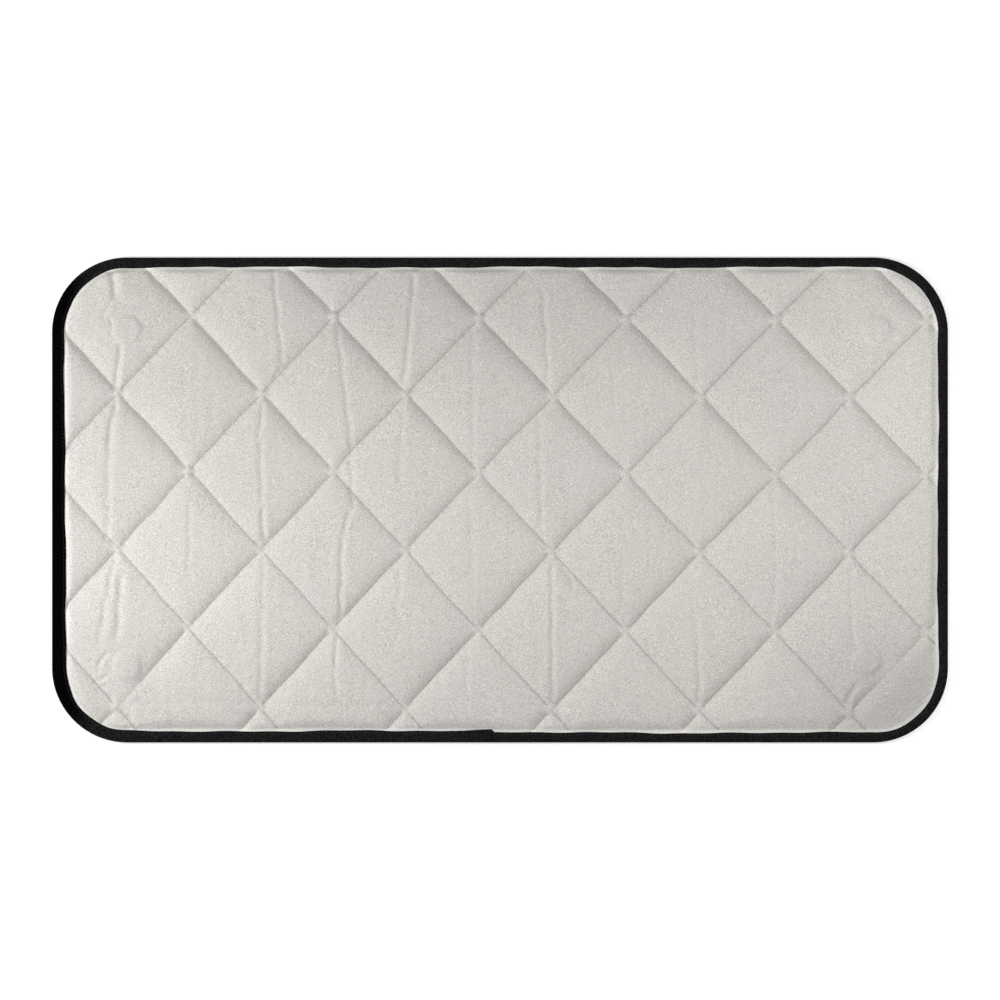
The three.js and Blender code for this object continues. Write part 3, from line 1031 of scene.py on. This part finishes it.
def make_twist_group():
    """Slanting strands of a twisted thread."""
    pitch = ("Strand Pitch", "NodeSocketFloat", 0.0005)
    tree, given, result = new_group("thread_twist", [pitch], ["Strand"])
    x, y, z = axis_values(tree, object_place(tree))
    slant = calculate(tree, "ADD", calculate(tree, "ADD", x, y), calculate(tree, "MULTIPLY", z, 2))
    turns = calculate(tree, "DIVIDE", slant, given.outputs["Strand Pitch"])
    strand = calculate(tree, "SINE", calculate(tree, "MULTIPLY", turns, 2 * math.pi))
    tree.links.new(calculate(tree, "MULTIPLY_ADD", strand, 0.5, 0.5), result.inputs["Strand"])
    return tree


def material_tree(name, roughness, specular):
    material = bpy.data.materials.new(name)
    material.use_nodes = True
    tree = material.node_tree
    shader = tree.nodes["Principled BSDF"]
    shader.inputs["Roughness"].default_value = roughness
    shader.inputs["Specular IOR Level"].default_value = specular
    return material, tree, shader


def use_group(tree, group, **values):
    node = tree.nodes.new("ShaderNodeGroup")
    node.node_tree = group
    for label, value in values.items():
        node.inputs[label.replace("_", " ")].default_value = value
    return node.outputs


def blend_colours(tree, share, low, high):
    node = tree.nodes.new("ShaderNodeMix")
    node.data_type = "RGBA"
    tree.links.new(share, node.inputs["Factor"])
    for label, colour in (("A", low), ("B", high)):
        socket = next(item for item in node.inputs if item.name == label and item.type == "RGBA")
        if isinstance(colour, bpy.types.NodeSocket):
            tree.links.new(colour, socket)
        else:
            socket.default_value = (*colour, 1)
    return next(item for item in node.outputs if item.type == "RGBA")


def spread(tree, value, low, high):
    node = tree.nodes.new("ShaderNodeMapRange")
    tree.links.new(value, node.inputs["Value"])
    node.inputs["To Min"].default_value = low
    node.inputs["To Max"].default_value = high
    return node.outputs["Result"]


def raise_bumps(tree, shader, height, distance, strength=1.0):
    bump = tree.nodes.new("ShaderNodeBump")
    bump.inputs["Distance"].default_value = distance
    bump.inputs["Strength"].default_value = strength
    tree.links.new(height, bump.inputs["Height"])
    tree.links.new(bump.outputs["Normal"], shader.inputs["Normal"])


def attribute_value(tree, name):
    node = tree.nodes.new("ShaderNodeAttribute")
    node.attribute_name = name
    return node.outputs["Fac"]


def scaled_attribute(tree, name, scale):
    return calculate(tree, "MULTIPLY", attribute_value(tree, name), scale, clamp=True)


def silver_cloth(grain_group, weave_group):
    material, tree, shader = material_tree("silver_cloth", 0.6, 0.35)
    grain = use_group(tree, grain_group, Grain_Scale=820, Grain_Strength=GRAIN_STRENGTH)
    weave = use_group(tree, weave_group, Thread_Pitch=0.0006)
    grained = blend_colours(tree, grain["Grain"], SILVER_DARK, SILVER_LIGHT)
    drift = spread(tree, grain["Drift"], 0.0, 1.0)
    tinted = blend_colours(tree, drift, (0.955, 0.955, 0.965), (1.045, 1.04, 1.03))
    node = tree.nodes.new("ShaderNodeMix")
    node.data_type = "RGBA"
    node.blend_type = "MULTIPLY"
    node.inputs["Factor"].default_value = 1
    sockets = [item for item in node.inputs if item.type == "RGBA"]
    tree.links.new(grained, sockets[0])
    tree.links.new(tinted, sockets[1])
    multiplied = next(item for item in node.outputs if item.type == "RGBA")
    # Painted shade: the colour turns towards dark grey along the seam grooves
    seam = scaled_attribute(tree, "seam_painted_shade", SEAM_PAINTED_SHADE)
    coloured = blend_colours(tree, seam, multiplied, (0.30, 0.29, 0.275))
    # Painted highlight: the colour turns pale in a thin band beside the tape
    edge_highlight_share = scaled_attribute(tree, "edge_painted_highlight", EDGE_PAINTED_HIGHLIGHT)
    edged = blend_colours(tree, edge_highlight_share, coloured, (0.95, 0.93, 0.9))
    # Painted light and shade: the colour is scaled by the soft patches of the tone attribute
    shade = tree.nodes.new("ShaderNodeVectorMath")
    shade.operation = "SCALE"
    tree.links.new(edged, shade.inputs[0])
    tree.links.new(attribute_value(tree, "tone"), shade.inputs["Scale"])
    tree.links.new(shade.outputs["Vector"], shader.inputs["Base Color"])
    tree.links.new(spread(tree, grain["Grain"], 0.5, 0.72), shader.inputs["Roughness"])
    height = calculate(tree, "MULTIPLY_ADD", weave["Height"], 0.35, grain["Grain"])
    raise_bumps(tree, shader, height, 0.00025, 0.6)
    return material


def black_twill(grain_group):
    """Tape with fine slanting ribs along the edge and a rubbed, speckled tone; its left side is
    painted darker and less glossy as painted shade.
    """
    material, tree, shader = material_tree("black_tape", 0.85, 0.06)
    along, across = attribute_value(tree, "tape_along"), attribute_value(tree, "tape_across")
    turns = calculate(tree, "DIVIDE", calculate(tree, "ADD", along, across), 0.0011)
    rib = calculate(tree, "SINE", calculate(tree, "MULTIPLY", turns, 2 * math.pi))
    rib = calculate(tree, "MULTIPLY_ADD", rib, 0.5, 0.5)
    grain = use_group(tree, grain_group, Grain_Scale=640, Grain_Strength=4.5)
    ribbed = calculate(tree, "MULTIPLY_ADD", rib, 0.4, 0.6)
    share = calculate(tree, "MULTIPLY", ribbed, grain["Grain"])
    # Painted shade: the tape's colour and gloss drop along its left side
    share = calculate(tree, "MULTIPLY", share, attribute_value(tree, "tape_painted_shade"))
    tone = blend_colours(tree, share, (0.0004, 0.0004, 0.0005), (0.023, 0.023, 0.024))
    tree.links.new(tone, shader.inputs["Base Color"])
    sheen = scaled_attribute(tree, "tape_painted_shade", 0.06)
    tree.links.new(sheen, shader.inputs["Specular IOR Level"])
    tree.links.new(spread(tree, grain["Grain"], 0.75, 0.95), shader.inputs["Roughness"])
    raise_bumps(tree, shader, calculate(tree, "ADD", rib, grain["Grain"]), 0.0002, 0.8)
    return material


def black_lining(grain_group, weave_group):
    material, tree, shader = material_tree("black_lining", 0.8, 0.25)
    grain = use_group(tree, grain_group, Grain_Scale=420, Grain_Strength=1.5)
    weave = use_group(tree, weave_group, Thread_Pitch=0.0007)
    share = calculate(tree, "MULTIPLY", weave["Height"], grain["Grain"])
    tone = blend_colours(tree, share, (0.006, 0.006, 0.0065), (0.035, 0.035, 0.037))
    tree.links.new(tone, shader.inputs["Base Color"])
    tree.links.new(spread(tree, grain["Drift"], 0.72, 0.88), shader.inputs["Roughness"])
    raise_bumps(tree, shader, weave["Height"], 0.0002, 0.6)
    return material


def sewing_thread(name, twist_group, low, high):
    material, tree, shader = material_tree(name, 0.55, 0.4)
    strand = use_group(tree, twist_group, Strand_Pitch=0.0005)["Strand"]
    tree.links.new(blend_colours(tree, strand, low, high), shader.inputs["Base Color"])
    tree.links.new(spread(tree, strand, 0.65, 0.45), shader.inputs["Roughness"])
    raise_bumps(tree, shader, strand, 0.0001, 0.5)
    return material


def wadding_fibre(grain_group):
    material, tree, shader = material_tree("wadding_fibre", 0.95, 0.2)
    place = object_place(tree)
    stretch = tree.nodes.new("ShaderNodeMapping")
    stretch.inputs["Scale"].default_value = (1, 0.15, 1)
    tree.links.new(place, stretch.inputs["Vector"])
    fibres = noise(tree, stretch.outputs["Vector"], 900, 3, 0.7)
    grain = use_group(tree, grain_group, Grain_Scale=300, Grain_Strength=1.0)
    share = calculate(tree, "MULTIPLY", fibres, grain["Drift"])
    tone = blend_colours(tree, share, (0.72, 0.72, 0.71), (0.93, 0.93, 0.92))
    tree.links.new(tone, shader.inputs["Base Color"])
    tree.links.new(spread(tree, fibres, 0.85, 1.0), shader.inputs["Roughness"])
    raise_bumps(tree, shader, fibres, 0.0006, 0.8)
    return material


def nickel_plate(grain_group):
    material, tree, shader = material_tree("nickel_plate", 0.3, 0.5)
    shader.inputs["Metallic"].default_value = 1.0
    place = object_place(tree)
    scratches = noise(tree, place, 1400, 2, 0.6)
    grain = use_group(tree, grain_group, Grain_Scale=900, Grain_Strength=1.0)
    tone = blend_colours(tree, scratches, (0.46, 0.455, 0.445), (0.60, 0.595, 0.58))
    tree.links.new(tone, shader.inputs["Base Color"])
    tree.links.new(spread(tree, grain["Grain"], 0.22, 0.4), shader.inputs["Roughness"])
    raise_bumps(tree, shader, scratches, 0.00003, 0.4)
    return material


def dress(piece, material):
    piece.data.materials.clear()
    piece.data.materials.append(material)


bpy.context.scene.view_settings.view_transform = "Standard"
set_stage()
set_light()
set_camera()

face = make_face()
back = make_back()
wadding = make_wadding()
tape, lap = make_binding()
quilting = lay_stitches(
    "quilting_thread_face", seam_runs(face, FACE_STITCH_RISE), STITCH_LENGTH, STITCH_RADIUS
)
bobbin = lay_stitches(
    "quilting_thread_back", seam_runs(back, BACK_STITCH_RISE), STITCH_LENGTH, STITCH_RADIUS
)
tape_stitches = lay_stitches(
    "binding_thread", tape_runs(), TAPE_STITCH_LENGTH, TAPE_STITCH_RADIUS
)

grain_group, weave_group, twist_group = make_grain_group(), make_weave_group(), make_twist_group()
dress(face, silver_cloth(grain_group, weave_group))
dress(quilting, sewing_thread("grey_thread", twist_group, (0.6, 0.585, 0.55), (0.85, 0.83, 0.79)))
dress(back, black_lining(grain_group, weave_group))
black_tape = black_twill(grain_group)
dress(tape, black_tape)
dress(lap, black_tape)
black_thread = sewing_thread(
    "black_thread", twist_group, (0.004, 0.004, 0.0045), (0.02, 0.02, 0.022)
)
dress(bobbin, black_thread)
dress(tape_stitches, black_thread)
dress(wadding, wadding_fibre(grain_group))
nickel = nickel_plate(grain_group)
for node in MAGNET_NODES:
    dress(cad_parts[node], nickel)
